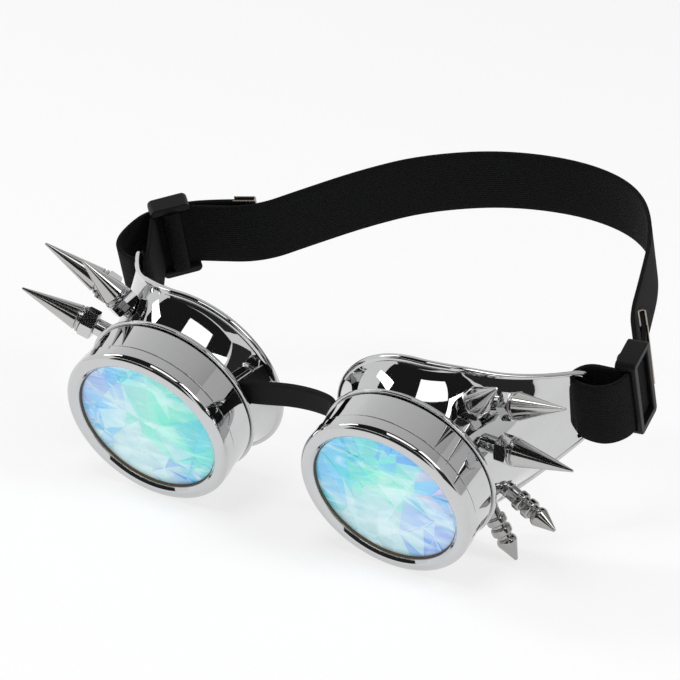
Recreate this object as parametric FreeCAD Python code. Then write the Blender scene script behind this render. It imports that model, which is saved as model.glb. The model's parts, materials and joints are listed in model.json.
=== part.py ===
"""Steampunk goggles: two plated eyecups with screw bezels, faceted lenses and spikes, on an elastic strap.

Millimetres. Each cup is drawn about its own lens axis: X outwards to the temple, Y back from the
bezel's front plane, Z up. The left cup is the mirror image, apart from how its spikes and strap lie.
At the end the whole part is tipped onto its feet: the bezels' lips and the tips of the front studs.
"""
import FreeCAD, Part
import math
import os

V = FreeCAD.Vector

# Fits
RUNNING_GAP = 0.3
SCREW_GAP = 0.05
OVERRUN = 5.0

# Bezel, a screw ring
LENS_SPACING = 90.8
BEZEL_RADIUS = 31.0
BEZEL_LENGTH = 17.3
BEZEL_WALL = 2.2
FRONT_WIDTH = 5.0
WINDOW_CHAMFER = 1.2
LIP_LENGTH = 6.2
LIP_THICKNESS = 2.4
LIP_ROUND = 1.9
LIP_GROOVE = 0.5
BAND_STEP = 0.4

# Lens, a glass disc with a faceted crown at its back, and its gasket
LENS_EDGE = 3.0
LENS_BEVEL = 0.4
CROWN_HEIGHT = 6.6
CROWN_FACETS = 16
CROWN_RADIUS_SHARES = (0.89, 0.56, 0.24)
CROWN_HEIGHT_SHARES = (0.0, 0.62, 1.0)
GASKET_THICKNESS = 0.8

# Eyecup: spigot, stepped flange and flared cup
SPIGOT_WALL = 2.0
FLANGE_OVERHANG = 0.5
FLANGE_LENGTH = 1.4
STEP_INSET = 0.8
STEP_LENGTH = 1.3
NECK_SHOULDER = 0.3
CUP_WALL = 1.8
RIM_FLARE = 2.0
RIM_DEPTH = 32.1
RIM_BEAD = 1.5
TEMPLE_REACH = 40.5
TEMPLE_DEPTH = 66.5
SWEEP_POWER = 1.9
FLARE_SHARES = (0.30, 0.62)
CORNER_SHARPNESS = 40.0
CORNER_TURN_SHARES = (0.0, 0.45, 0.75, 0.9, 1.0, 1.1, 1.3, 1.65)
TEMPLE_SECTIONS = 9

# Long spikes: boss on the cup, hex nut, cone, and a screw from inside
SPIKE_RADIUS = 4.5
SPIKE_TIP_RADIUS = 0.4
SPIKE_COLLAR_RADIUS = 4.7
SPIKE_COLLAR_LENGTH = 0.9
SPIKE_GROOVE = 0.4
NUT_ACROSS_FLATS = 9.2
NUT_LENGTH = 5.0
NUT_CHAMFER = 0.5
BOSS_RADIUS = 2.9
BOSS_INSIDE = 1.9
SCREW_RADIUS = 1.5
SCREW_HEAD_RADIUS = 3.0
SCREW_HEAD_LENGTH = 1.6
SCREW_GRIP = 6.0

# Turned studs: stem, two collars and a bullet head
STUD_LENGTH = 20.0
STUD_STEM_RADIUS = 2.6
STUD_COLLAR_RADIUS = 3.5
STUD_HEAD_RADIUS = 3.8
STUD_TIP_RADIUS = 0.5
STUD_STEM_SHARE = 0.15
STUD_COLLAR_SHARE = 0.155
STUD_GROOVE_SHARE = 0.045
STUD_SHOULDER_SHARE = 0.07
STUD_BOSS_HEIGHT = 1.7

# Where each spike and stud sits on the cup: angle about the lens axis from the temple, upwards, and
# share of the way from neck to rim; then its neck height and its length.
SPIKE_SEATS = {
    "upper": {"angle": 49.2, "seat_share": 0.39, "neck": 1.9, "length": 17.4},
    "middle": {"angle": 38.4, "seat_share": 0.52, "neck": 6.7, "length": 23.0},
    "lower": {"angle": 26.2, "seat_share": 0.14, "neck": 6.7, "length": 23.0},
}
STUD_SEATS = {
    "front": {"angle": -46.7, "seat_share": 0.38},
    "rear": {"angle": -36.2, "seat_share": 0.48},
}
# How each one points: fan angle in the lens plane from the temple, upwards, and lean to the front.
SPIKE_POINTING_ANGLES = {
    "right": {"upper": (49.9, 13.4), "middle": (24.6, 10.3), "lower": (4.8, 6.7)},
    "left": {"upper": (57.2, 6.7), "middle": (34.1, 3.8), "lower": (24.6, 6.1)},
}
STUD_POINTING_ANGLES = {"front": (-62.7, 8.9), "rear": (-18.7, 15.7)}

# Elastic strap, slide buckle and crimped tip
STRAP_WIDTH = 25.0
STRAP_THICKNESS = 1.4
SLOT_WIDTH = 3.6
SLOT_SETBACK = 5.0
BEND_SHARE = 0.45
STRAP_BACK = 161.0
# Middle of the strap from the right buckle round the back to the left one, as shares of the temple
# end's distance from the middle and of the strap's furthest point.
ROUTE_SHARES = (
    (1.016, 0.600), (0.962, 0.702), (0.872, 0.856), (0.712, 0.964), (0.442, 1.000), (0.093, 0.974),
    (-0.210, 0.896), (-0.396, 0.808), (-0.563, 0.706), (-0.702, 0.618),
)
# How the strap's ends lie: buckle's place from the temple end, its turn from straight out, and how
# far the outer layer bulges.
STRAP_LIE = {
    "right": {"buckle_out": 11.5, "buckle_back": 11.0, "turn_angle": 96.0, "bulge_out": 8.0, "bulge_back": -5.5},
    "left": {"buckle_out": 1.8, "buckle_back": 22.0, "turn_angle": 137.0, "bulge_out": 11.2, "bulge_back": -0.4},
}
TAIL_SPREAD = 3.0
BUCKLE_LENGTH = 14.0
BUCKLE_BAR = 2.6
BUCKLE_RAIL = 2.6
BUCKLE_PLATE = 1.7
BUCKLE_ROUND = 2.0
BUCKLE_TRAVEL = 3.0
TIP_LENGTH = 8.0
TIP_SHEET = 0.5
TIP_OVERHANG = 0.6
TIP_GAP = 0.15

# Nose bridge strap
BRIDGE_HEIGHT = 9.0
BRIDGE_THICKNESS = 1.8
BRIDGE_LEVEL = 9.0
BRIDGE_SETBACK = 3.0
BRIDGE_BOW = 1.5
BRIDGE_FOLD_LENGTH = 4.0
BRIDGE_FOLD_THICKNESS = 4.2

# Sizes that follow
HALF_SPACING = LENS_SPACING / 2
TEMPLE_HALF_HEIGHT = STRAP_WIDTH / 2
WINDOW_RADIUS = BEZEL_RADIUS - FRONT_WIDTH
FLANGE_RADIUS = BEZEL_RADIUS + FLANGE_OVERHANG
STEP_RADIUS = BEZEL_RADIUS - STEP_INSET
RIM_RADIUS = BEZEL_RADIUS + RIM_FLARE
BAND_RADIUS = BEZEL_RADIUS - BAND_STEP
BORE_RADIUS = BAND_RADIUS - BEZEL_WALL
SPIGOT_RADIUS = BORE_RADIUS - RUNNING_GAP
NECK_INNER = SPIGOT_RADIUS - SPIGOT_WALL
NECK_OUTER = NECK_INNER + NECK_SHOULDER + CUP_WALL
LENS_RADIUS = BORE_RADIUS - RUNNING_GAP
LENS_FRONT = LIP_THICKNESS + SCREW_GAP
LENS_BACK = LENS_FRONT + LENS_EDGE
SPIGOT_FRONT = LENS_BACK + GASKET_THICKNESS
FLANGE_FRONT = BEZEL_LENGTH + RUNNING_GAP
STEP_FRONT = FLANGE_FRONT + FLANGE_LENGTH
NECK_FRONT = STEP_FRONT + STEP_LENGTH
LAYER_OFFSET = (STRAP_THICKNESS + RUNNING_GAP) / 2
STACK_HALF = LAYER_OFFSET + STRAP_THICKNESS / 2
BRIDGE_DEPTH = NECK_FRONT + BRIDGE_SETBACK


def unit(vector):
    return V(vector).normalize()


def left_of(direction):
    return V(-direction.y, direction.x, 0)


def corner_arc(before, corner, after, reach):
    """Start, middle and end of the arc that rounds a corner, from reach before it to reach after it."""
    into = unit(corner - before)
    out = unit(after - corner)
    half_turn = into.getAngle(out) / 2
    radius = reach / math.tan(half_turn)
    middle = corner + unit(out - into) * (radius / math.cos(half_turn) - radius)
    return corner - into * reach, middle, corner + out * reach


def rounded_outline(corners):
    """Closed wire of straight sides; each corner is (point, radius), with radius 0 for a sharp one."""
    spans = []
    for index, (corner, radius) in enumerate(corners):
        before = corners[index - 1][0]
        after = corners[(index + 1) % len(corners)][0]
        if radius:
            half_turn = (corner - before).getAngle(after - corner) / 2
            spans.append(corner_arc(before, corner, after, radius * math.tan(half_turn)))
        else:
            spans.append((corner, corner, corner))
    edges = []
    for span, following in zip(spans, spans[1:] + spans[:1]):
        if span[0] != span[2]:
            edges.append(Part.Arc(*span).toShape())
        if not span[2].isEqual(following[0], SCREW_GAP * SCREW_GAP):
            edges.append(Part.LineSegment(span[2], following[0]).toShape())
    return Part.Wire(edges)


def turned(corners):
    """Solid of revolution about the Y axis from (radius, depth, corner radius) triples."""
    wire = rounded_outline([(V(radius, depth, 0), rounding) for radius, depth, rounding in corners])
    return Part.Face(wire).revolve(V(0, 0, 0), V(0, 1, 0), 360)


def along(shape, base, direction):
    """Moves a solid of revolution so that its Y axis starts at base and points along direction."""
    placed = shape.copy()
    placed.Placement = FreeCAD.Placement(base, FreeCAD.Rotation(V(0, 1, 0), direction))
    return placed


def rod(radius, base, direction, length):
    return Part.makeCylinder(radius, length, base, direction)


def pointing(fan, lean):
    """Unit vector at a fan angle in the lens plane, leaning to the front."""
    across = math.cos(math.radians(lean))
    fan = math.radians(fan)
    return V(across * math.cos(fan), -math.sin(math.radians(lean)), across * math.sin(fan))


# The cup's wall

TEMPLE_CORNER = math.atan2(TEMPLE_HALF_HEIGHT, TEMPLE_REACH)
RIM_TANGENT = TEMPLE_CORNER + math.acos(RIM_RADIUS / math.hypot(TEMPLE_REACH, TEMPLE_HALF_HEIGHT))


def rim_radius(angle):
    """Rim outline about the lens axis: a circle, two straight sides tangent to it, and the temple end
    with rounded corners."""
    turn = abs(angle)
    if turn >= RIM_TANGENT:
        return RIM_RADIUS
    end = TEMPLE_REACH / math.cos(turn)
    side = RIM_RADIUS / math.cos(RIM_TANGENT - turn)
    return (end ** -CORNER_SHARPNESS + side ** -CORNER_SHARPNESS) ** (-1 / CORNER_SHARPNESS)


def wall_middle(angle):
    """Control points, as radius and depth, of the wall's middle line from the neck to the rim."""
    radius = rim_radius(angle)
    sweep = max(0.0, radius * math.cos(angle) / TEMPLE_REACH)
    depth = RIM_DEPTH + (TEMPLE_DEPTH - RIM_DEPTH) * sweep ** SWEEP_POWER
    neck = V(NECK_OUTER - CUP_WALL / 2, STEP_FRONT, 0)
    rim = V(radius, depth, 0)
    flare = V(neck.x + FLARE_SHARES[0] * (rim.x - neck.x), neck.y + FLARE_SHARES[1] * (rim.y - neck.y), 0)
    return neck, flare, rim


def wall_section(angle):
    """Closed section of the wall at this angle about the lens axis: outer face, rolled rim, inner face."""
    neck, flare, rim = wall_middle(angle)
    along_rim = unit(rim - flare)
    outward = -left_of(along_rim)
    half = CUP_WALL / 2
    radial = V(1, 0, 0)
    bisector = unit(outward + radial)
    start = rim - along_rim * math.sqrt(RIM_BEAD ** 2 - half ** 2)
    outer_face = Part.BezierCurve()
    outer_face.setPoles([neck + radial * half, flare + bisector * half, start + outward * half])
    rolled_rim = Part.Arc(start + outward * half, rim + along_rim * RIM_BEAD, start - outward * half)
    inner_face = Part.BezierCurve()
    inner_face.setPoles([start - outward * half, flare - bisector * half, neck - radial * half])
    neck_end = Part.LineSegment(neck - radial * half, neck + radial * half)
    section = Part.Wire([curve.toShape() for curve in (outer_face, rolled_rim, inner_face, neck_end)])
    section.rotate(V(), V(0, 1, 0), -math.degrees(angle))
    return section


def temple_angles():
    """Angles about the lens axis over the half towards the temple, close together at its corners."""
    upper = [share * TEMPLE_CORNER for share in CORNER_TURN_SHARES]
    step = (math.pi / 2 - upper[-1]) / TEMPLE_SECTIONS
    upper += [upper[-1] + step * (index + 1) for index in range(TEMPLE_SECTIONS)]
    return [-angle for angle in reversed(upper[1:])] + upper


def cup_wall():
    """Flared wall with its rolled rim: a turned half by the nose and a half drawn out to the temple."""
    nose_half = Part.Face(wall_section(math.pi / 2)).revolve(V(), V(0, 1, 0), -180)
    temple_half = Part.makeLoft([wall_section(angle) for angle in temple_angles()], True, True)
    return [nose_half, temple_half]


def wall_point(angle, share):
    """Point on the wall's middle, at an angle about the lens axis and a share of the way to the rim."""
    neck, flare, rim = wall_middle(angle)
    flat = neck * (1 - share) ** 2 + flare * (2 * share * (1 - share)) + rim * share ** 2
    return V(flat.x * math.cos(angle), flat.y, flat.x * math.sin(angle))


def temple_end():
    """Rim point in the middle of the temple end, the wall's direction there and its outward normal."""
    neck, flare, rim = wall_middle(0.0)
    direction = unit(rim - flare)
    return rim, direction, -left_of(direction)


# Spikes and studs

def spike_places(side):
    """Seat, direction and sizes of the three long spikes on one side."""
    places = {}
    for name, seat in SPIKE_SEATS.items():
        direction = pointing(*SPIKE_POINTING_ANGLES[side][name])
        base = wall_point(math.radians(seat["angle"]), seat["seat_share"])
        places[name] = (base, direction, seat["neck"], seat["length"])
    return places


def stud_places():
    places = {}
    for name, seat in STUD_SEATS.items():
        base = wall_point(math.radians(seat["angle"]), seat["seat_share"])
        places[name] = (base, pointing(*STUD_POINTING_ANGLES[name]))
    return places


def boss_inside():
    return CUP_WALL / 2 + BOSS_INSIDE


def spike_cone(length):
    """Cone with a collar ring and a blind hole for its screw, standing on its base."""
    groove_radius = SPIKE_RADIUS - SPIKE_GROOVE
    shoulder = SPIKE_COLLAR_LENGTH + SPIKE_GROOVE
    cone = turned([
        (0, 0, 0), (SPIKE_COLLAR_RADIUS, 0, 0),
        (SPIKE_COLLAR_RADIUS, SPIKE_COLLAR_LENGTH, SPIKE_GROOVE / 2),
        (groove_radius, SPIKE_COLLAR_LENGTH, 0), (groove_radius, shoulder, 0),
        (SPIKE_RADIUS, shoulder + SPIKE_GROOVE, 0),
        (SPIKE_TIP_RADIUS, length, SPIKE_TIP_RADIUS / 2), (0, length, 0),
    ])
    hole = rod(SCREW_RADIUS + SCREW_GAP, V(0, 0, 0), V(0, 1, 0), SCREW_GRIP + RUNNING_GAP)
    return cone.cut(hole)


def hex_nut():
    """Chamfered hex nut with a clearance hole, standing on its face."""
    corner_radius = NUT_ACROSS_FLATS / math.sqrt(3)
    corners = [V(corner_radius * math.cos(turn * math.pi / 3), 0, corner_radius * math.sin(turn * math.pi / 3))
               for turn in range(7)]
    prism = Part.Face(Part.makePolygon(corners)).extrude(V(0, NUT_LENGTH, 0))
    slope = NUT_CHAMFER * 2
    blank = turned([
        (0, 0, 0), (corner_radius - slope, 0, 0), (corner_radius, NUT_CHAMFER, 0),
        (corner_radius, NUT_LENGTH - NUT_CHAMFER, 0), (corner_radius - slope, NUT_LENGTH, 0), (0, NUT_LENGTH, 0),
    ])
    hole = rod(SCREW_RADIUS + SCREW_GAP, V(0, -OVERRUN, 0), V(0, 1, 0), NUT_LENGTH + 2 * OVERRUN)
    return prism.common(blank).cut(hole)


def pan_screw(shank_length):
    """Screw whose head lies below zero, with its shank along Y."""
    head = turned([
        (0, -SCREW_HEAD_LENGTH, 0), (SCREW_HEAD_RADIUS, -SCREW_HEAD_LENGTH, SCREW_HEAD_LENGTH / 2),
        (SCREW_HEAD_RADIUS, 0, 0), (0, 0, 0),
    ])
    return head.fuse(rod(SCREW_RADIUS, V(0, 0, 0), V(0, 1, 0), shank_length)).removeSplitter()


def turned_stud():
    """Stem, two rounded collars and a bullet head, with a blind hole for its screw."""
    stem = STUD_LENGTH * STUD_STEM_SHARE
    collar = STUD_LENGTH * STUD_COLLAR_SHARE
    groove = STUD_LENGTH * STUD_GROOVE_SHARE
    head = stem + 2 * (collar + groove)
    shoulder = head + STUD_LENGTH * STUD_SHOULDER_SHARE
    collar_round = collar * STUD_COLLAR_SHARE * 2
    corners = [(0, 0, 0), (STUD_STEM_RADIUS, 0, 0), (STUD_STEM_RADIUS, stem, 0)]
    for start in (stem, stem + collar + groove):
        corners += [
            (STUD_COLLAR_RADIUS, start, collar_round), (STUD_COLLAR_RADIUS, start + collar, collar_round),
            (STUD_STEM_RADIUS, start + collar, 0), (STUD_STEM_RADIUS, start + collar + groove, 0),
        ]
    corners += [
        (STUD_HEAD_RADIUS, shoulder, STUD_HEAD_RADIUS / 2),
        (STUD_TIP_RADIUS, STUD_LENGTH, STUD_TIP_RADIUS / 2), (0, STUD_LENGTH, 0),
    ]
    hole = rod(SCREW_RADIUS + SCREW_GAP, V(0, 0, 0), V(0, 1, 0), SCREW_GRIP + RUNNING_GAP)
    return turned(corners).cut(hole)


# Rigid pieces of one cup

def bezel():
    """Screw ring: rounded lip with a chamfered window, a groove line and a smooth band."""
    groove_end = LIP_LENGTH + LIP_GROOVE
    return turned([
        (WINDOW_RADIUS, LIP_THICKNESS, 0),
        (WINDOW_RADIUS, WINDOW_CHAMFER, 0),
        (WINDOW_RADIUS + WINDOW_CHAMFER, 0, WINDOW_CHAMFER),
        (BEZEL_RADIUS, 0, LIP_ROUND),
        (BEZEL_RADIUS, LIP_LENGTH, LIP_GROOVE / 2),
        (BAND_RADIUS - LIP_GROOVE, LIP_LENGTH, 0),
        (BAND_RADIUS - LIP_GROOVE, groove_end, 0),
        (BAND_RADIUS, groove_end, 0),
        (BAND_RADIUS, BEZEL_LENGTH, LIP_GROOVE),
        (BORE_RADIUS, BEZEL_LENGTH, 0),
        (BORE_RADIUS, LIP_THICKNESS, 0),
    ])


def lens():
    """Glass disc, flat in front, with rings of triangular facets that rise to a table at the back."""
    disc = turned([
        (0, LENS_FRONT, 0), (LENS_RADIUS - LENS_BEVEL, LENS_FRONT, 0),
        (LENS_RADIUS, LENS_FRONT + LENS_BEVEL, 0), (LENS_RADIUS, LENS_BACK, 0), (0, LENS_BACK, 0),
    ])
    rings = []
    for level, (radius_share, height_share) in enumerate(zip(CROWN_RADIUS_SHARES, CROWN_HEIGHT_SHARES)):
        radius = LENS_RADIUS * radius_share
        depth = LENS_BACK + CROWN_HEIGHT * height_share
        turns = [2 * math.pi * (step + level / 2) / CROWN_FACETS for step in range(CROWN_FACETS)]
        rings.append([V(radius * math.cos(turn), depth, radius * math.sin(turn)) for turn in turns])
    faces = [Part.Face(Part.makePolygon(rings[0] + rings[0][:1]))]
    faces.append(Part.Face(Part.makePolygon(rings[-1] + rings[-1][:1])))
    for lower, upper in zip(rings, rings[1:]):
        for step in range(CROWN_FACETS):
            after = (step + 1) % CROWN_FACETS
            faces.append(Part.Face(Part.makePolygon([lower[step], lower[after], upper[step], lower[step]])))
            faces.append(Part.Face(Part.makePolygon([upper[step], lower[after], upper[after], upper[step]])))
    crown = Part.Solid(Part.makeShell(faces))
    if crown.Volume < 0:
        crown.reverse()
    return disc.fuse(crown).removeSplitter()


def lens_gasket():
    return turned([
        (NECK_INNER, LENS_BACK, 0), (LENS_RADIUS, LENS_BACK, 0),
        (LENS_RADIUS, SPIGOT_FRONT, 0), (NECK_INNER, SPIGOT_FRONT, 0),
    ])


def strap_slot():
    """Slot across the temple wall, a little longer than the strap is wide."""
    rim, direction, outward = temple_end()
    height = STRAP_WIDTH + 4 * RUNNING_GAP
    centre = rim - direction * SLOT_SETBACK
    corner = centre - direction * (SLOT_WIDTH / 2) - outward * OVERRUN
    across = [corner, corner + direction * SLOT_WIDTH, corner + direction * SLOT_WIDTH + outward * (2 * OVERRUN),
              corner + outward * (2 * OVERRUN), corner]
    return Part.Face(Part.makePolygon([point - V(0, 0, height / 2) for point in across])).extrude(V(0, 0, height))


def bridge_slot():
    """Slot through the nose side of the neck for the bridge strap."""
    thickness = BRIDGE_THICKNESS + 2 * RUNNING_GAP
    height = BRIDGE_HEIGHT + 2 * RUNNING_GAP
    corner = V(-NECK_OUTER - OVERRUN, BRIDGE_DEPTH - thickness / 2, BRIDGE_LEVEL - height / 2)
    return Part.makeBox(NECK_OUTER + OVERRUN, thickness, height, corner)


def eyecup(side):
    """Spigot and stepped flange, flared wall, bosses for spikes and studs, screw holes and strap slots."""
    front = turned([
        (NECK_INNER, SPIGOT_FRONT, 0), (SPIGOT_RADIUS, SPIGOT_FRONT, 0), (SPIGOT_RADIUS, FLANGE_FRONT, 0),
        (FLANGE_RADIUS, FLANGE_FRONT, LIP_GROOVE), (FLANGE_RADIUS, STEP_FRONT, LIP_GROOVE),
        (STEP_RADIUS, STEP_FRONT, 0), (STEP_RADIUS, NECK_FRONT, LIP_GROOVE), (NECK_INNER, NECK_FRONT, 0),
    ])
    places = [(base, direction, neck) for base, direction, neck, length in spike_places(side).values()]
    places += [(base, direction, STUD_BOSS_HEIGHT) for base, direction in stud_places().values()]
    bosses = []
    holes = [strap_slot(), bridge_slot()]
    for base, direction, neck in places:
        foot = base - direction * boss_inside()
        bosses.append(rod(BOSS_RADIUS, foot, direction, boss_inside() + neck))
        holes.append(rod(SCREW_RADIUS + SCREW_GAP, foot - direction * OVERRUN, direction,
                         boss_inside() + neck + 2 * OVERRUN))
    return front.fuse(cup_wall() + bosses).cut(holes)


def spike_pieces(side):
    """Cones, nuts and screws of the long spikes, and the studs with their screws."""
    cones = {}
    nuts = []
    screws = []
    for name, (base, direction, neck, length) in spike_places(side).items():
        seat = base + direction * neck
        cones[name] = along(spike_cone(length), seat + direction * NUT_LENGTH, direction)
        nuts.append(along(hex_nut(), seat, direction))
        grip = boss_inside() + neck + NUT_LENGTH + SCREW_GRIP
        screws.append(along(pan_screw(grip), base - direction * boss_inside(), direction))
    studs = {}
    stud_screws = []
    for name, (base, direction) in stud_places().items():
        studs[name] = along(turned_stud(), base + direction * STUD_BOSS_HEIGHT, direction)
        grip = boss_inside() + STUD_BOSS_HEIGHT + SCREW_GRIP
        stud_screws.append(along(pan_screw(grip), base - direction * boss_inside(), direction))
    return cones, nuts, screws, studs, stud_screws


# Strap

def band(points, thickness, height, level):
    """Flat strap on edge: straight runs joined by tangent arcs, each as large as its runs allow."""
    arcs = []
    for before, corner, after in zip(points, points[1:], points[2:]):
        reach = BEND_SHARE * min((corner - before).Length, (after - corner).Length)
        arcs.append((before, corner, after, reach))
    sides = []
    for offset in (thickness / 2, -thickness / 2):
        here = points[0] + left_of(unit(points[1] - points[0])) * offset
        edges = []
        for before, corner, after, reach in arcs:
            start, middle, end = corner_arc(before, corner, after, reach)
            into = unit(corner - before)
            out = unit(after - corner)
            start = start + left_of(into) * offset
            end = end + left_of(out) * offset
            middle = middle + left_of(unit(into + out)) * offset
            edges.append(Part.LineSegment(here, start).toShape())
            edges.append(Part.Arc(start, middle, end).toShape())
            here = end
        last = points[-1] + left_of(unit(points[-1] - points[-2])) * offset
        edges.append(Part.LineSegment(here, last).toShape())
        sides.append((points[0] + left_of(unit(points[1] - points[0])) * offset, edges, last))
    caps = [Part.LineSegment(sides[0][0], sides[1][0]).toShape(), Part.LineSegment(sides[0][2], sides[1][2]).toShape()]
    wire = Part.Wire(Part.__sortEdges__(sides[0][1] + sides[1][1] + caps))
    solid = Part.Face(wire).extrude(V(0, 0, height))
    solid.translate(V(0, 0, level - height / 2))
    return solid


def buckle_frame(side):
    """Buckle's centre on the middle of the strap stack, the strap's run through it, and outward."""
    lie = STRAP_LIE[side]
    rim, direction, outward = temple_end()
    turn = math.radians(lie["turn_angle"])
    run = V(math.cos(turn), math.sin(turn), 0)
    return rim + V(HALF_SPACING + lie["buckle_out"], lie["buckle_back"], 0), run, -left_of(run)


def straight_half():
    return BUCKLE_LENGTH / 2 + BUCKLE_TRAVEL + RUNNING_GAP


def route():
    """The head strap's points between the buckles, from right to left."""
    temple_x = HALF_SPACING + TEMPLE_REACH
    return [V(temple_x * x_share, STRAP_BACK * y_share, 0) for x_share, y_share in ROUTE_SHARES]


def next_to_buckle(side):
    """The head strap's point nearest to a buckle, as on the right side."""
    point = route()[0] if side == "right" else route()[-1]
    return V(abs(point.x), point.y, 0)


def tail_points(side):
    """Outer layer from the buckle's middle to the tail's end."""
    centre, run, outward = buckle_frame(side)
    start = centre + outward * LAYER_OFFSET
    leave = start + run * straight_half()
    away = next_to_buckle(side) - (centre + run * straight_half())
    end = leave + away + (-left_of(unit(away))) * TAIL_SPREAD
    return [start, leave, end]


def loop_points(side):
    """Strap end from inside the buckle, round the temple end through its slot, and out to the tail."""
    lie = STRAP_LIE[side]
    centre, run, outward = buckle_frame(side)
    rim, wall_run, wall_out = temple_end()
    rim = rim + V(HALF_SPACING, 0, 0)
    clear = RIM_BEAD + STRAP_THICKNESS / 2 + 2 * RUNNING_GAP
    slot = rim - wall_run * SLOT_SETBACK
    inner = centre - outward * LAYER_OFFSET
    bar_clear = BUCKLE_BAR / 2 + BUCKLE_TRAVEL + RUNNING_GAP
    outer = centre + outward * LAYER_OFFSET - run * straight_half()
    bulge = rim + V(lie["bulge_out"], lie["bulge_back"], 0)
    return [
        inner, inner - run * bar_clear, rim + wall_run * clear - wall_out * clear, slot - wall_out * clear,
        slot + wall_out * clear, bulge, outer,
    ] + tail_points(side)[1:]


def strap_loop(side):
    return band(loop_points(side), STRAP_THICKNESS, STRAP_WIDTH, 0)


def head_strap():
    """Elastic band from the right buckle's middle round the back to the left one's."""
    ends = []
    for side in ("right", "left"):
        centre, run, outward = buckle_frame(side)
        inner = centre - outward * LAYER_OFFSET
        ends.append([inner, inner + run * (BUCKLE_BAR / 2 + BUCKLE_TRAVEL + RUNNING_GAP)])
    left_end = [V(-point.x, point.y, 0) for point in reversed(ends[1])]
    return band(ends[0] + route() + left_end, STRAP_THICKNESS, STRAP_WIDTH, 0)


def upright_box(centre, run, length, outward, low, high, bottom, top):
    """Box along run, from low to high along outward and from bottom to top."""
    corners = [(-length / 2, low), (length / 2, low), (length / 2, high), (-length / 2, high), (-length / 2, low)]
    points = [centre + run * ahead + outward * out + V(0, 0, bottom) for ahead, out in corners]
    return Part.Face(Part.makePolygon(points)).extrude(V(0, 0, top - bottom))


def slide_buckle(side):
    """Three-bar slide: two end bars outside the strap's layers, a middle bar inside, and two rails."""
    centre, run, outward = buckle_frame(side)
    half_height = STRAP_WIDTH / 2 + RUNNING_GAP + BUCKLE_RAIL
    near = STACK_HALF + RUNNING_GAP
    far = near + BUCKLE_PLATE
    end = run * (BUCKLE_LENGTH / 2 - BUCKLE_BAR / 2)
    bars = [
        upright_box(centre + end, run, BUCKLE_BAR, outward, near, far, -half_height, half_height),
        upright_box(centre - end, run, BUCKLE_BAR, outward, near, far, -half_height, half_height),
        upright_box(centre, run, BUCKLE_BAR, outward, -far, -near, -half_height, half_height),
    ]
    rail_inside = half_height - BUCKLE_RAIL
    rails = [
        upright_box(centre, run, BUCKLE_LENGTH, outward, -far, far, rail_inside, half_height),
        upright_box(centre, run, BUCKLE_LENGTH, outward, -far, far, -half_height, -rail_inside),
    ]
    frame = bars[0].fuse(bars[1:] + rails).removeSplitter()
    upright = [edge for edge in frame.Edges if is_end_corner(edge, centre, run, outward, far, half_height)]
    return frame.makeFillet(BUCKLE_ROUND, upright)


def is_end_corner(edge, centre, run, outward, far, half_height):
    """True for the four edges across the rails' ends, where the frame's outline is rounded."""
    middle = edge.CenterOfMass - centre
    at_end = abs(abs(middle.dot(run)) - BUCKLE_LENGTH / 2) < SCREW_GAP
    at_top = abs(abs(middle.z) - half_height) < SCREW_GAP
    return at_end and at_top and abs(edge.Length - 2 * far) < SCREW_GAP


def strap_tip(side):
    """Folded metal crimp over the tail's end."""
    points = tail_points(side)
    run = unit(points[-1] - points[-2])
    outward = -left_of(run)
    half_height = STRAP_WIDTH / 2 + TIP_OVERHANG
    half_strap = STRAP_THICKNESS / 2 + TIP_GAP
    half_tip = half_strap + TIP_SHEET
    centre = points[-1] - run * (TIP_LENGTH / 2 - TIP_SHEET)
    shell = upright_box(centre, run, TIP_LENGTH, outward, -half_tip, half_tip, -half_height, half_height)
    inside = upright_box(centre - run * (TIP_SHEET + OVERRUN), run, TIP_LENGTH + 2 * OVERRUN, outward,
                         -half_strap, half_strap, -half_height - OVERRUN, half_height + OVERRUN)
    pocket = inside.common(upright_box(points[-1] - run * TIP_LENGTH, run, 2 * TIP_LENGTH, outward,
                                       -half_tip, half_tip, -half_height - OVERRUN, half_height + OVERRUN))
    return shell.cut(pocket)


def nose_bridge():
    """Flat strap from cup to cup, bowed forward a little, with a thick folded end inside each neck."""
    top = BRIDGE_LEVEL + BRIDGE_HEIGHT / 2
    inside = HALF_SPACING - math.sqrt(NECK_INNER ** 2 - top ** 2) + RUNNING_GAP
    wall = HALF_SPACING - NECK_OUTER
    points = [V(-inside, BRIDGE_DEPTH, 0), V(-wall, BRIDGE_DEPTH, 0), V(0, BRIDGE_DEPTH - BRIDGE_BOW, 0),
              V(wall, BRIDGE_DEPTH, 0), V(inside, BRIDGE_DEPTH, 0)]
    strap = band(points, BRIDGE_THICKNESS, BRIDGE_HEIGHT, BRIDGE_LEVEL)
    corner = V(inside, BRIDGE_DEPTH - BRIDGE_FOLD_THICKNESS / 2, BRIDGE_LEVEL - BRIDGE_HEIGHT / 2)
    fold = Part.makeBox(BRIDGE_FOLD_LENGTH, BRIDGE_FOLD_THICKNESS, BRIDGE_HEIGHT, corner)
    return strap.fuse([fold, fold.mirror(V(0, 0, 0), V(1, 0, 0))]).removeSplitter()


# Assembly

def cup_nodes(side):
    """Every piece of one side, in its place on the right."""
    cones, nuts, screws, studs, stud_screws = spike_pieces(side)
    nodes = {"eyecup": eyecup(side), "bezel": bezel(), "lens": lens(), "lens_gasket": lens_gasket()}
    nodes.update({name + "_spike": cone for name, cone in cones.items()})
    nodes.update({name + "_stud": stud for name, stud in studs.items()})
    nodes["spike_nuts"] = Part.makeCompound(nuts)
    nodes["spike_screws"] = Part.makeCompound(screws)
    nodes["stud_screws"] = Part.makeCompound(stud_screws)
    for shape in nodes.values():
        shape.translate(V(HALF_SPACING, 0, 0))
    nodes["strap_loop"] = strap_loop(side)
    nodes["strap_tip"] = strap_tip(side)
    nodes["slide_buckle"] = slide_buckle(side)
    return nodes


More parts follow.
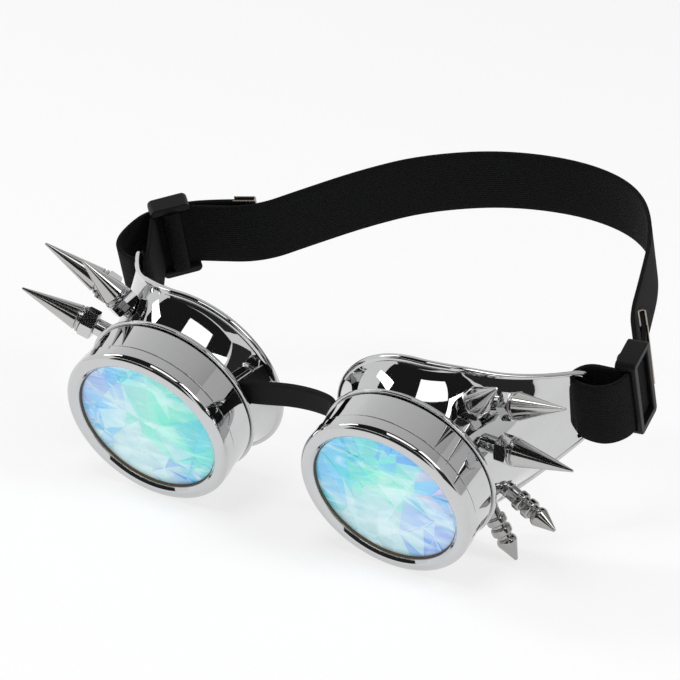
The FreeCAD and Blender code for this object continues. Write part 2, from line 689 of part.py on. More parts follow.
def goggles():
    nodes = {"right_" + name: shape for name, shape in cup_nodes("right").items()}
    for name, shape in cup_nodes("left").items():
        nodes["left_" + name] = shape.mirror(V(0, 0, 0), V(1, 0, 0))
    nodes["nose_bridge"] = nose_bridge()
    nodes["head_strap"] = head_strap()
    return nodes


def standing_pitch():
    """Angle that sets the bezels' round lips and the front studs' tips on one level."""
    base, direction = stud_places()["front"]
    tip = base + direction * (STUD_BOSS_HEIGHT + STUD_LENGTH)
    rise = tip.z + BEZEL_RADIUS - LIP_ROUND
    ahead = tip.y - LIP_ROUND
    return math.asin((STUD_TIP_RADIUS - LIP_ROUND) / math.hypot(rise, ahead)) - math.atan2(rise, ahead)


def stand(nodes):
    """Tips the part onto its feet and sets the middle of its footprint on the origin."""
    for shape in nodes.values():
        shape.rotate(V(0, 0, 0), V(1, 0, 0), math.degrees(standing_pitch()))
    box = Part.makeCompound(list(nodes.values())).optimalBoundingBox(False)
    shift = V(-box.Center.x, -box.Center.y, -box.ZMin)
    for shape in nodes.values():
        shape.translate(shift)
    return shift


def main():
    nodes = goggles()
    stand(nodes)
    os.makedirs("parts", exist_ok=True)
    for name, shape in nodes.items():
        shape.exportStep("parts/" + name + ".step")
        print(name, "solids", len(shape.Solids), "valid", shape.isValid(), "volume", round(shape.Volume, 1))


main()
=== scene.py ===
"""Steampunk goggles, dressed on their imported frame.

Plated shells, spikes, shard lenses and elastic straps in metres, with a plain studio round them.
"""
import json
import math
import random

import bmesh
import bpy
from mathutils import Matrix, Vector


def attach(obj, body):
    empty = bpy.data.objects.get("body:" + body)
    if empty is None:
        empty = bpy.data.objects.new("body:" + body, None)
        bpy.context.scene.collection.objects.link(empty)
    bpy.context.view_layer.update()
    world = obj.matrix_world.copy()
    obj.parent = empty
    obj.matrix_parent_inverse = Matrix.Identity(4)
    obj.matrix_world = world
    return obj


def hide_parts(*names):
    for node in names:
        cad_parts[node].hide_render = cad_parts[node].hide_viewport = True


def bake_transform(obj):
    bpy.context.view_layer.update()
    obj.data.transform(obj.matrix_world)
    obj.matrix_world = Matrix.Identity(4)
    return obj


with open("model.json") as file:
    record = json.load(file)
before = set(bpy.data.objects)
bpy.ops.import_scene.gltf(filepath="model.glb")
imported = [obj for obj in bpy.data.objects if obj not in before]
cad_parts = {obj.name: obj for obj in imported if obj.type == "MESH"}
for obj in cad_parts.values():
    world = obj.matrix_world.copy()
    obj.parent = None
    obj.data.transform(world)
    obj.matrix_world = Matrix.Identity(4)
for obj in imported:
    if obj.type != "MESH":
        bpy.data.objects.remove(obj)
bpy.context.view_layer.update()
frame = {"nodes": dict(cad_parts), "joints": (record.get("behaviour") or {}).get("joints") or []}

bl_info = {
    "name": "Steampunk Goggles",
    "version": (1, 0, 0),
    "blender": (4, 5, 0),
    "location": "3D View > Sidebar > Goggles",
    "description": "Dresses the goggles' frame: plating, lenses, spikes, straps and a plain studio",
    "category": "Object",
}

SIDES = ("left", "right")
MERGE_DISTANCE = 0.000002
SHARP_ANGLE = math.radians(32)
FLAT_ANGLE = math.radians(0.4)
FOLD_ANGLE = math.radians(60)
# Steps round the turned shapes
WALL_STEPS = 480
SHELL_STEPS = 192
RING_STEPS = 96
SPIKE_STEPS = 64
BOSS_STEPS = 48


def joint(name):
    """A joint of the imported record, by name."""
    return next(entry for entry in frame["joints"] if entry["name"] == name)


def goggle_space():
    """Matrix from the goggles' own space, X right, Y back and Z up, to the row frame."""
    up = Vector(joint("bridge_fold")["axis"])
    back = -Vector(joint("left_bezel_turn")["axis"])
    middle = (Vector(joint("left_bezel_turn")["pos_m"]) + Vector(joint("right_bezel_turn")["pos_m"])) / 2
    turn = Matrix((up.cross(back) * -1, back, up)).transposed()
    return Matrix.Translation(middle) @ turn.to_4x4()


GOGGLES = goggle_space()
LENS_REACH = abs(joint("right_bezel_turn")["pos_m"][0] - joint("left_bezel_turn")["pos_m"][0]) / 2


def cup_space(side):
    """Matrix from a cup's own space, lens axis along Y and temple towards +X, to the row frame."""
    hand = 1 if side == "right" else -1
    return GOGGLES @ Matrix.Translation((hand * LENS_REACH, 0, 0)) @ Matrix.Diagonal((hand, 1, 1, 1))


# Outlines turned about the lens axis, in metres: radius, depth behind the lip's front, corner ease
BEZEL_OUTLINE = (
    (0.026, 0.0024, 0), (0.026, 0.0012, 0.0002), (0.0272, 0, 0.0005), (0.031, 0, 0.0026),
    (0.031, 0.0062, 0.00025), (0.0301, 0.0062, 0), (0.0301, 0.0067, 0), (0.0306, 0.0067, 0.00012),
    (0.0306, 0.0173, 0.0005), (0.0284, 0.0173, 0.0002), (0.0284, 0.0024, 0),
)
FLANGE_OUTLINE = (
    (0.0261, 0.00625, 0), (0.0281, 0.00625, 0.0003), (0.0281, 0.0176, 0), (0.0315, 0.0176, 0.0005),
    (0.0315, 0.019, 0.0005), (0.0302, 0.019, 0), (0.0302, 0.0203, 0.0005), (0.0261, 0.0203, 0.0002),
)
# Thin ring just behind the lip: painted shade for the shadow line round the glass, brown for a painted
# reflection of the inner lip.
SHADE_RING_OUTLINE = (
    (0.02555, 0.00205, 0.00012), (0.02598, 0.0015, 0), (0.02598, 0.00242, 0), (0.02555, 0.00242, 0),
)
GASKET_OUTLINE = (
    (0.0261, 0.00545, 0.0001), (0.0281, 0.00545, 0.0001), (0.0281, 0.00625, 0.0001),
    (0.0261, 0.00625, 0.0001),
)
STUD_OUTLINE = (
    (0, 0, 0), (0.0026, 0, 0.0001), (0.0026, 0.003, 0),
    (0.0035, 0.003, 0.00088), (0.0035, 0.0061, 0.00088), (0.0026, 0.0061, 0), (0.0026, 0.007, 0),
    (0.0035, 0.007, 0.00088), (0.0035, 0.0101, 0.00088), (0.0026, 0.0101, 0), (0.0026, 0.011, 0),
    (0.0038, 0.0124, 0.00119), (0.0005, 0.02, 0.0002), (0, 0.02, 0),
)


def spike_outline(length):
    """Cone on a collar ring, standing on its base."""
    return (
        (0, 0, 0), (0.0047, 0, 0.00012), (0.0047, 0.0009, 0.0002), (0.0041, 0.0009, 0), (0.0041, 0.0013, 0),
        (0.0045, 0.0017, 0.00015), (0.0004, length, 0.00015), (0, length, 0),
    )


# The cup's wall
CUP_WALL = 0.0018
RIM_BEAD = 0.0015
RIM_RADIUS = 0.033
RIM_DEPTH = 0.0321
NECK_MIDDLE = Vector((0.0273, 0.019))
TEMPLE_REACH = 0.0405
TEMPLE_HALF_HEIGHT = 0.0125
TEMPLE_DEPTH = 0.0665
SWEEP_POWER = 1.9
FLARE_SHARES = (0.3, 0.62)
CORNER_SHARPNESS = 40.0
# Slots: width, depth through the wall and height, and the ease of their corners
SLOT_SIZE = (0.0036, 0.008, 0.0262)
SLOT_SETBACK = 0.005
SLOT_EASE = 0.0014
BRIDGE_SLOT_SIZE = (0.0024, 0.01, 0.0096)
BRIDGE_SLOT_PLACE = (-0.028, 0.0224, 0.0072)
BRIDGE_SLOT_EASE = 0.0008
# Bosses under the spikes and studs, with the ease at foot and top
BOSS_RADIUS = 0.0029
BOSS_FOOT = 0.0028
BOSS_EASES = (0.0003, 0.0002)
NUT_LENGTH = 0.005
STUD_BOSS = 0.0017
FASTENERS = {"_spike_nuts": "nut_steel", "_spike_screws": "screw_steel", "_stud_screws": "screw_steel"}

# Seats of the spikes and studs: angle about the lens axis, share of the way to the rim, neck, length
SPIKE_SEATS = {
    "upper": (49.2, 0.39, 0.0019, 0.0174),
    "middle": (38.4, 0.52, 0.0067, 0.023),
    "lower": (26.2, 0.14, 0.0067, 0.023),
}
STUD_SEATS = {"front": (-46.7, 0.38), "rear": (-36.2, 0.48)}
# Fan angle of each in the lens plane, and lean to the front
SPIKE_AIMS = {
    "right": {"upper": (49.9, 13.4), "middle": (24.6, 10.3), "lower": (4.8, 6.7)},
    "left": {"upper": (57.2, 6.7), "middle": (34.1, 3.8), "lower": (24.6, 6.1)},
}
STUD_AIMS = {"front": (-62.7, 8.9), "rear": (-18.7, 15.7)}

# Middle lines of the straps in the goggles' own space, X and Y in metres
HEAD_ROUTE = (
    (0.0966, 0.0774), (0.09637, 0.07959), (0.09595, 0.08357), (0.09374, 0.0869), (0.0873, 0.0966),
    (0.0826, 0.113), (0.0749, 0.1378), (0.0612, 0.1552), (0.038, 0.161), (0.008, 0.1568), (-0.018, 0.1443),
    (-0.034, 0.1301), (-0.0484, 0.1137), (-0.0603, 0.0995), (-0.07877, 0.09339), (-0.08257, 0.09213),
    (-0.08549, 0.0894), (-0.0871, 0.0879),
)
LOOP_ROUTES = {
    "right": (
        (0.0966, 0.0774), (0.09683, 0.07521), (0.09725, 0.07123), (0.09326, 0.07093), (0.0847, 0.0703),
        (0.0811, 0.0633), (0.0861, 0.0608), (0.0939, 0.061), (0.0993, 0.0673), (0.09852, 0.07466),
        (0.09815, 0.07884), (0.0972, 0.0878), (0.0902, 0.0988),
    ),
    "left": (
        (-0.0871, 0.0879), (-0.08871, 0.0864), (-0.09163, 0.08367), (-0.08979, 0.08012), (-0.0847, 0.0703),
        (-0.0811, 0.0633), (-0.0861, 0.0608), (-0.0971, 0.0661), (-0.0958, 0.0821), (-0.09039, 0.08715),
        (-0.08728, 0.08996), (-0.0807, 0.0961), (-0.0615, 0.1031),
    ),
}
BRIDGE_ROUTE = (
    (-0.0232, 0.0247), (-0.0271, 0.0247), (-0.0271, 0.0224), (-0.0232, 0.0224), (-0.018, 0.0224),
    (-0.011, 0.0241), (-0.003, 0.0264), (0.006, 0.0272), (0.0138, 0.0262), (0.0164, 0.0228),
    (0.0192, 0.0224), (0.0232, 0.0224), (0.0271, 0.0224), (0.0271, 0.0247), (0.0232, 0.0247),
)
# Each buckle's middle and the strap's direction through it
BUCKLES = {
    "right": (Vector((0.0974, 0.0775)), Vector((-0.105, 0.995))),
    "left": (Vector((-0.0877, 0.0885)), Vector((0.731, 0.682))),
}
# Folds as (along, aside): the wrap from a buckle's middle, and the crimp from a tail's end
BAR_WRAP = ((0.00215, 0.0023), (0.00215, 0.0045), (-0.00215, 0.0045), (-0.00215, 0.0023))
TIP_FOLD = (
    (-0.0075, 0.0011), (-0.001, 0.0011), (0.00025, 0.0011),
    (0.00025, -0.0011), (-0.001, -0.0011), (-0.0075, -0.0011),
)
TIP_MARGIN = 0.0012
TIP_SHEET = 0.0005
NOSE_WIDTH = 0.009
NOSE_THICKNESS = 0.0018
BUCKLE_EASE = 0.0005
STRAP_EASE_SHARE = 0.3
STRAP_STEPS = 8

# Tints of the lens film, and where they lie on each lens in shares of its radius
TINTS = {
    "pink": (0.74, 0.48, 0.76), "lilac": (0.34, 0.44, 0.82), "deep": (0.06, 0.28, 0.8),
    "sky": (0.11, 0.48, 0.84), "aqua": (0.08, 0.6, 0.7), "mint": (0.16, 0.77, 0.57),
    "pale": (0.38, 0.78, 0.7), "ice": (0.52, 0.73, 0.77),
}
LENS_SPOTS = {
    "left": (
        (-0.9, 0.25, "lilac"), (-0.65, 0.6, "lilac"), (-0.35, 0.85, "sky"), (-0.7, 0.05, "sky"),
        (-0.45, 0.25, "ice"), (-0.05, 0.85, "aqua"), (0.15, 0.15, "mint"), (0.45, 0.6, "mint"),
        (0.05, 0.55, "pale"), (0.85, 0.3, "aqua"), (0.6, 0.05, "mint"), (0.3, -0.18, "mint"),
        (0.8, -0.35, "aqua"), (0.45, -0.85, "deep"), (-0.45, -0.45, "ice"), (0.1, -0.55, "ice"),
        (-0.2, -0.25, "ice"), (-0.15, -0.75, "ice"),
    ),
    "right": (
        (-0.45, 0.8, "sky"), (-0.92, 0.25, "sky"), (-0.5, 0.3, "aqua"), (-0.15, 0.0, "mint"),
        (0.02, 0.3, "mint"), (0.1, 0.8, "sky"), (0.55, 0.85, "deep"), (0.65, 0.6, "sky"),
        (0.28, 0.26, "pale"), (0.05, -0.4, "ice"), (-0.55, -0.45, "ice"), (-0.8, -0.25, "aqua"),
        (0.75, 0.05, "sky"), (0.62, -0.35, "lilac"), (0.9, 0.4, "pink"), (0.6, -0.72, "deep"),
        (0.28, -0.2, "ice"), (-0.2, -0.4, "ice"), (0.1, -0.78, "ice"),
    ),
}
# Softness of a spot's reach, and how many near spots tint a shard
SPOT_SOFTNESS = 0.02
NEAR_SPOTS = 3
# Cuts right across the lens, chance that a later one breaks a shard, and shares of the radius
WIDE_CUTS = 4
CUT_CHANCE = 0.45
CUT_SPREAD = 0.85
CUT_GAP = 0.004
LEAST_SHARD = 0.02
RIM_START = 0.99
BORDER_START = 0.9
SHARD_LIGHTNESS = (0.85, 1.12)
LENS_SEGMENTS = 96
# Crown at a lens's back: radius shares at each ring's foot and top, and its height
CROWN_RINGS = ((0.89, 0.56, 0.0041), (0.56, 0.24, 0.0025))
CROWN_SEGMENTS = 16
CROWN_TINTS = ("mint", "sky", "ice", "lilac", "pale")
CROWN_STRIDE = 3
# Depth of a lens's highest facets behind the lip's front
LENS_FRONT = 0.00245

# Film: share of a shard's own tint, splinters and their two tints, pale veil of painted milky highlights, and
# painted glow that stands in for light inside the lens
FILM_LAYERS = ("film_field", "film_shard")
SHARD_SHARE = 0.52
SPLINTER_SHARE = 0.26
SPLINTER_TINTS = ((0.66, 0.8, 0.84), (0.2, 0.56, 0.66))
HIGHLIGHT_VEIL_COLOUR = (0.74, 0.88, 0.9, 1)
HIGHLIGHT_VEIL_SHARE = 0.55
FILM_PAINTED_GLOW = 0.3
# Elastic: band of the wave texture at a scale of 1, and the picks' pitch and relief beside the ribs'
WAVE_BAND = 0.314
PICK_PITCH = 0.8
PICK_RELIEF = 0.45

# Studio: lamps (name, size, place, watts) and cards (name, size, place, point faced, end greys)
HEART = (0, -0.02, 0.045)
SOFTBOXES = (
    ("key_softbox", (0.45, 0.55), (0.02, -0.6, 1.3), 7.0),
    ("side_softbox", (0.3, 0.7), (-1.35, -0.25, 1.05), 9.0),
    ("fill_softbox", (0.4, 0.7), (1.05, -0.1, 1.05), 6.0),
)
CARDS = (
    ("grey_back_ceiling", (4.6, 2.6), (0, 1.45, 1.45), (0, 1.45, 0), (0.9, 0.36)),
    ("grey_back_wall", (2.2, 1.5), (1.35, 1.05, 0.74), (0, 0, 0.74), (0.75, 0.25)),
    ("dark_front_ceiling", (4.6, 1.9), (0, -0.8, 1.46), (0, -0.8, 0), (0.015, 0.015)),
    ("dark_front_wall", (3.6, 1.56), (-0.2, -1.95, 0.8), (0, 0, 0.8), (0.02, 0.03)),
    ("dark_right_wall", (1.6, 1.0), (1.85, -0.5, 0.52), (0, 0, 0.52), (0.03, 0.03)),
    ("white_block", (0.95, 0.62), (0.33, -0.58, 1.4), (0.33, -0.58, 0), (1.8, 1.8)),
    ("white_side", (0.3, 0.7), (-1.35, -0.25, 1.05), HEART, (4.0, 4.0)),
    ("white_fill", (0.4, 0.7), (1.05, -0.1, 1.05), HEART, (4.0, 4.0)),
    ("white_front_strip", (3.2, 0.11), (-0.35, -1.92, 1.06), (0, 0, 1.06), (1.6, 1.6)),
)
FLOOR_REACH = 6.0
FLOOR_GLOW = 0.72
SKY_GREY = 0.9
SKY_LIGHT = 0.4


class GogglesPlating(bpy.types.PropertyGroup):
    """Colours of the plated pieces."""
    shell_colour: bpy.props.FloatVectorProperty(
        name="Shell plating", description="Colour of the bright plating on cups and bezels",
        subtype="COLOR", default=(0.60, 0.602, 0.607), min=0, max=1)
    spike_colour: bpy.props.FloatVectorProperty(
        name="Spike plating", description="Colour of the turned spikes",
        subtype="COLOR", default=(0.50, 0.495, 0.49), min=0, max=1)
    stud_colour: bpy.props.FloatVectorProperty(
        name="Stud plating", description="Colour of the darker turned studs",
        subtype="COLOR", default=(0.40, 0.395, 0.39), min=0, max=1)
    tip_colour: bpy.props.FloatVectorProperty(
        name="Crimp metal", description="Colour of the strap's crimped tips",
        subtype="COLOR", default=(0.50, 0.455, 0.39), min=0, max=1)
    edge_ease: bpy.props.FloatProperty(
        name="Edge ease", description="Rounding of the plated pieces' sharp edges",
        unit="LENGTH", default=0.00012, min=0, precision=5)


class GogglesLens(bpy.types.PropertyGroup):
    """Shards of the faceted lenses."""
    radius: bpy.props.FloatProperty(
        name="Radius", description="Radius of the lens behind the bezel's lip",
        unit="LENGTH", default=0.0281, min=0, precision=4)
    depth: bpy.props.FloatProperty(
        name="Depth", description="Thickness of the lens at its edge",
        unit="LENGTH", default=0.0030, min=0, precision=4)
    relief: bpy.props.FloatProperty(
        name="Relief", description="Height of the facets",
        unit="LENGTH", default=0.0004, min=0, precision=4)
    cuts: bpy.props.IntProperty(
        name="Cuts", description="Number of cuts that break the lens into shards", default=34, min=1)


class GogglesStrap(bpy.types.PropertyGroup):
    """Elastic strap and nose strap."""
    width: bpy.props.FloatProperty(
        name="Width", description="Width of the head strap", unit="LENGTH", default=0.025, min=0, precision=4)
    thickness: bpy.props.FloatProperty(
        name="Thickness", description="Thickness of the head strap",
        unit="LENGTH", default=0.0014, min=0, precision=4)
    rib_pitch: bpy.props.FloatProperty(
        name="Rib pitch", description="Distance between the elastic's ribs",
        unit="LENGTH", default=0.0009, min=0.0001, precision=5)
    colour: bpy.props.FloatVectorProperty(
        name="Elastic", description="Colour of the woven elastic",
        subtype="COLOR", default=(0.0035, 0.0035, 0.0038), min=0, max=1)


class GogglesStage(bpy.types.PropertyGroup):
    """Camera and studio."""
    azimuth: bpy.props.FloatProperty(
        name="Azimuth", description="Camera's turn round the goggles",
        subtype="ANGLE", default=math.radians(29.487))
    elevation: bpy.props.FloatProperty(
        name="Elevation", description="Camera's height angle", subtype="ANGLE", default=math.radians(23.358))
    roll: bpy.props.FloatProperty(
        name="Roll", description="Camera's turn about its own axis",
        subtype="ANGLE", default=math.radians(2.989))
    distance: bpy.props.FloatProperty(
        name="Distance", description="Camera's distance from its aim", unit="LENGTH", default=1.2906)
    aim: bpy.props.FloatVectorProperty(
        name="Aim", description="Point that the camera looks at", subtype="XYZ", unit="LENGTH",
        default=(0.01037, -0.04505, 0.06647))
    lens: bpy.props.FloatProperty(
        name="Focal length", description="Camera's focal length in millimetres", default=210.39)
    floor_colour: bpy.props.FloatVectorProperty(
        name="Floor", description="Colour of the floor",
        subtype="COLOR", default=(0.92, 0.92, 0.92), min=0, max=1)


# Mesh helpers

def linked(name, data):
    """New object in the scene."""
    piece = bpy.data.objects.new(name, data)
    bpy.context.scene.collection.objects.link(piece)
    return piece


def evaluated(holder):
    """Mesh of an object with its modifiers or its curve worked out."""
    graph = bpy.context.evaluated_depsgraph_get()
    return bpy.data.meshes.new_from_object(holder.evaluated_get(graph))


def finished(name, bm, material, body=None, slot=None):
    """Links a finished mesh at the origin, on its body, with its material; the slot is not used."""
    mesh = bpy.data.meshes.new(name)
    bm.to_mesh(mesh)
    bm.free()
    piece = linked(name, mesh)
    mesh.materials.append(material)
    if body:
        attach(piece, body)
    return piece


def shade(bm):
    """Smooth faces, with sharp edges where the surface turns by more than the sharp angle."""
    for face in bm.faces:
        face.smooth = True
    for edge in bm.edges:
        edge.smooth = edge.calc_face_angle(0.0) < SHARP_ANGLE


def merged(parts):
    """One mesh from several."""
    whole = bmesh.new()
    for part in parts:
        mesh = bpy.data.meshes.new("part")
        part.to_mesh(mesh)
        part.free()
        whole.from_mesh(mesh)
        bpy.data.meshes.remove(mesh)
    return whole


def move(bm, matrix):
    bmesh.ops.transform(bm, matrix=matrix, verts=bm.verts)


def face_outwards(bm):
    bmesh.ops.recalc_face_normals(bm, faces=bm.faces)


def settle(bm, matrix):
    """Moves a mesh to its place, mirrored or not, with its faces outwards."""
    move(bm, matrix)
    face_outwards(bm)
    shade(bm)
    return bm


def evenly_lit(piece):
    """Lets a piece's large faces keep their own normals beside its eased edges."""
    even = piece.modifiers.new("even_normals", "WEIGHTED_NORMAL")
    even.keep_sharp = True


def of_kind(geometry, kind):
    """Vertices or edges among an operator's results."""
    return [part for part in geometry if isinstance(part, kind)]


def spin(bm, steps):
    """Spins an outline once about Y."""
    bmesh.ops.spin(bm, geom=[*bm.verts, *bm.edges], cent=(0, 0, 0), axis=(0, 1, 0), angle=2 * math.pi,
                   steps=steps, use_merge=True)


def sealed(bm):
    """Joins a mesh's doubled corners and turns its faces outwards."""
    bmesh.ops.remove_doubles(bm, verts=bm.verts, dist=MERGE_DISTANCE)
    face_outwards(bm)
    return bm


def turned(corners, steps):
    """Shape turned about Y from (radius, depth, ease) corners."""
    bm = bmesh.new()
    outline = [bm.verts.new((radius, depth, 0)) for radius, depth, _ in corners]
    bm.faces.new(outline)
    for vertex, (_, _, ease) in zip(outline, corners):
        if ease:
            bmesh.ops.bevel(bm, geom=[vertex], offset=ease, affect="VERTICES",
                            segments=6, profile=0.5, material=-1)
    bmesh.ops.delete(bm, geom=list(bm.faces), context="FACES_ONLY")
    on_axis = [edge for edge in bm.edges if max(vertex.co.x for vertex in edge.verts) < MERGE_DISTANCE]
    bmesh.ops.delete(bm, geom=on_axis, context="EDGES")
    spin(bm, steps)
    return sealed(bm)


def standing(base, direction):
    """Matrix that stands a turned shape on a base, along a direction."""
    return Matrix.Translation(base) @ Vector((0, 1, 0)).rotation_difference(direction).to_matrix().to_4x4()


def eased(piece, width, segments, angle):
    """Rounds a piece's edges that turn by more than an angle, for the highlight along them."""
    ease = piece.modifiers.new("edge_ease", "BEVEL")
    ease.width = width
    ease.segments = segments
    ease.limit_method = "ANGLE"
    ease.angle_limit = angle
    return ease


def dressed_node(node, body, material, slot, ease):
    """Rigid piece from its CAD node, with its flat faces joined and its edges eased."""
    bm = bmesh.new()
    bm.from_mesh(frame["nodes"][node].data)
    bmesh.ops.remove_doubles(bm, verts=bm.verts, dist=MERGE_DISTANCE)
    bmesh.ops.dissolve_limit(bm, angle_limit=FLAT_ANGLE, verts=bm.verts, edges=bm.edges)
    shade(bm)
    piece = finished("dressed_" + node, bm, material, body, slot)
    eased(piece, ease, 3, SHARP_ANGLE).harden_normals = True
    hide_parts(node)


# The cup

def rim_radius(angle):
    """Rim outline about the lens axis: a circle, two straight sides tangent to it, and the temple end."""
    corner = math.atan2(TEMPLE_HALF_HEIGHT, TEMPLE_REACH)
    tangent = corner + math.acos(RIM_RADIUS / math.hypot(TEMPLE_REACH, TEMPLE_HALF_HEIGHT))
    turn = abs(angle)
    if turn >= tangent:
        return RIM_RADIUS
    end = TEMPLE_REACH / math.cos(turn)
    side = RIM_RADIUS / math.cos(tangent - turn)
    return (end ** -CORNER_SHARPNESS + side ** -CORNER_SHARPNESS) ** (-1 / CORNER_SHARPNESS)


def wall_middle(angle):
    """Neck, flare and rim, as radius and depth, of the curve along the wall's middle."""
    radius = rim_radius(angle)
    sweep = max(0.0, radius * math.cos(angle) / TEMPLE_REACH)
    rim = Vector((radius, RIM_DEPTH + (TEMPLE_DEPTH - RIM_DEPTH) * sweep ** SWEEP_POWER))
    reach = rim - NECK_MIDDLE
    flare = NECK_MIDDLE + Vector((reach.x * FLARE_SHARES[0], reach.y * FLARE_SHARES[1]))
    return NECK_MIDDLE, flare, rim


def bend(curve, share):
    """Point of a curve with three controls."""
    first, control, last = curve
    return first.lerp(control, share).lerp(control.lerp(last, share), share)


def wall_section(angle, outside=16, bead=20, inside=10):
    """Section of the wall as radius and depth: outer face, rolled rim, inner face."""
    neck, flare, rim = wall_middle(angle)
    along = (rim - flare).normalized()
    outward = Vector((along.y, -along.x))
    half = CUP_WALL / 2
    bisector = (outward + Vector((1, 0))).normalized() * half
    thick = Vector((half, 0))
    opening = math.pi - math.asin(half / RIM_BEAD)
    start = rim - along * math.sqrt(RIM_BEAD ** 2 - half ** 2)
    outer = (neck + thick, flare + bisector, start + outward * half)
    inner = (start - outward * half, flare - bisector, neck - thick)
    section = [bend(outer, step / outside) for step in range(outside)]
    for step in range(bead + 1):
        turn = opening * (1 - 2 * step / bead)
        section.append(rim + (along * math.cos(turn) + outward * math.sin(turn)) * RIM_BEAD)
    return section + [bend(inner, (step + 1) / inside) for step in range(inside)]


def swung(flat, turn):
    """Point at a radius and depth, swung about the lens axis."""
    return Vector((flat.x * math.cos(turn), flat.y, flat.x * math.sin(turn)))


def wall_place(angle, share):
    """Point in the middle of the wall, at an angle in degrees and a share of the way to the rim."""
    turn = math.radians(angle)
    return swung(bend(wall_middle(turn), share), turn)


def aim(fan, lean):
    """Direction at a fan angle in the lens plane, leaning to the front, both in degrees."""
    fan, lean = math.radians(fan), math.radians(lean)
    return Vector((math.cos(lean) * math.cos(fan), -math.sin(lean), math.cos(lean) * math.sin(fan)))


def cup_wall():
    """Flared wall with its rolled rim: a section spun about the lens axis, each place at its own reach."""
    sections = {}
    first = wall_section(0)
    bm = bmesh.new()
    order = bm.verts.layers.int.new("order")
    bmesh.ops.create_circle(bm, segments=len(first), radius=RIM_RADIUS)
    for index, (vertex, place) in enumerate(zip(bm.verts, first)):
        vertex[order] = index
        vertex.co = (place.x, place.y, 0)
    spin(bm, WALL_STEPS)
    for vertex in bm.verts:
        turn = math.atan2(vertex.co.z, vertex.co.x)
        key = round(turn, 5)
        if key not in sections:
            sections[key] = wall_section(turn)
        vertex.co = swung(sections[key][vertex[order]], turn)
    return sealed(bm)


def slot_cutter(size, place, turn, ease):
    """Block that cuts a slot with rounded ends."""
    bm = bmesh.new()
    bmesh.ops.create_cube(bm, size=1.0)
    bmesh.ops.scale(bm, vec=size, verts=bm.verts)
    ends = [edge for edge in bm.edges if abs((edge.verts[0].co - edge.verts[1].co).y) > size[1] * 0.9]
    bmesh.ops.bevel(bm, geom=ends, offset=ease, affect="EDGES", segments=4, profile=0.5, material=-1)
    move(bm, Matrix.Translation(place) @ turn.to_4x4())
    return bm


def cup_slots():
    """Cutters for the strap's slot by the temple and the bridge's slot by the nose."""
    _, flare, rim = wall_middle(0)
    along = (rim - flare).normalized()
    middle = rim - along * SLOT_SETBACK
    turn = Matrix(((along.x, -along.y, 0), (along.y, along.x, 0), (0, 0, 1)))
    yield slot_cutter(SLOT_SIZE, (middle.x, middle.y, 0), turn, SLOT_EASE)
    across = Matrix.Rotation(math.pi / 2, 3, "Z")
    yield slot_cutter(BRIDGE_SLOT_SIZE, BRIDGE_SLOT_PLACE, across, BRIDGE_SLOT_EASE)


def cut_out(bm, cutters, material):
    """Copy of a mesh with its cutters taken out of it."""
    piece = finished("uncut", bm, material)
    tools = []
    for cutter in cutters:
        face_outwards(cutter)
        tools.append(finished("cutter", cutter, material))
        cut = piece.modifiers.new("cut", "BOOLEAN")
        cut.operation = "DIFFERENCE"
        cut.solver = "EXACT"
        cut.object = tools[-1]
    mesh = evaluated(piece)
    result = bmesh.new()
    result.from_mesh(mesh)
    for spent in (piece, *tools):
        shape = spent.data
        bpy.data.objects.remove(spent)
        bpy.data.meshes.remove(shape)
    bpy.data.meshes.remove(mesh)
    return result


def seats(side):
    """Base on the wall, direction and neck of each spike and stud."""
    places = {}
    for name, (angle, share, neck, _) in SPIKE_SEATS.items():
        places[name + "_spike"] = (wall_place(angle, share), aim(*SPIKE_AIMS[side][name]), neck)
    for name, (angle, share) in STUD_SEATS.items():
        places[name + "_stud"] = (wall_place(angle, share), aim(*STUD_AIMS[name]), STUD_BOSS)
    return places


def bosses(side):
    """Short posts through the wall under the spikes and studs."""
    parts = []
    foot, top = BOSS_EASES
    for base, direction, neck in seats(side).values():
        length = BOSS_FOOT + neck
        outline = ((0, 0, 0), (BOSS_RADIUS, 0, foot), (BOSS_RADIUS, length, top), (0, length, 0))
        post = turned(outline, BOSS_STEPS)
        move(post, standing(base - direction * BOSS_FOOT, direction))
        parts.append(post)
    return merged(parts)


# Materials

def new_material(name):
    """Material with its node tree and its shader."""
    material = bpy.data.materials.new(name)
    material.use_nodes = True
    tree = material.node_tree
    return material, tree, tree.nodes["Principled BSDF"]


def feed(socket, value):
    """Links a socket to another one, or sets it to a plain value."""
    if isinstance(value, bpy.types.NodeSocket):
        socket.id_data.links.new(value, socket)
    else:
        socket.default_value = value


def set_inputs(node, **values):
    """Feeds a node's sockets, each named by a key with underscores for spaces."""
    for key, value in values.items():
        feed(node.inputs[key.replace("_", " ")], value)


def add(tree, kind, **settings):
    """New shader node with its settings; a key that names an input feeds that socket."""
    node = tree.nodes.new("ShaderNode" + kind)
    for key, value in settings.items():
        if hasattr(node, key):
            setattr(node, key, value)
        else:
            set_inputs(node, **{key: value})
    return node


def reckoned(tree, operation, *values):
    """Socket with the result of a sum on sockets or numbers."""
    node = add(tree, "Math", operation=operation)
    for socket, value in zip(node.inputs, values):
        feed(socket, value)
    return node.outputs["Value"]


def blended(tree, factor, first, second):
    """Mix of two colours, by the mix node's own sockets for colours."""
    node = add(tree, "Mix", data_type="RGBA")
    for index, value in ((0, factor), (6, first), (7, second)):
        feed(node.inputs[index], value)
    return node.outputs[2]


def ramp(tree, factor, stops):
    """Colour ramp fed by a socket; stops are (position, colour)."""
    node = add(tree, "ValToRGB", Fac=factor)
    points = node.color_ramp.elements
    while len(points) < len(stops):
        points.new(1.0)
    for point, (position, colour) in zip(points, stops):
        point.position = position
        point.color = (*colour, 1.0)
    return node.outputs["Color"]


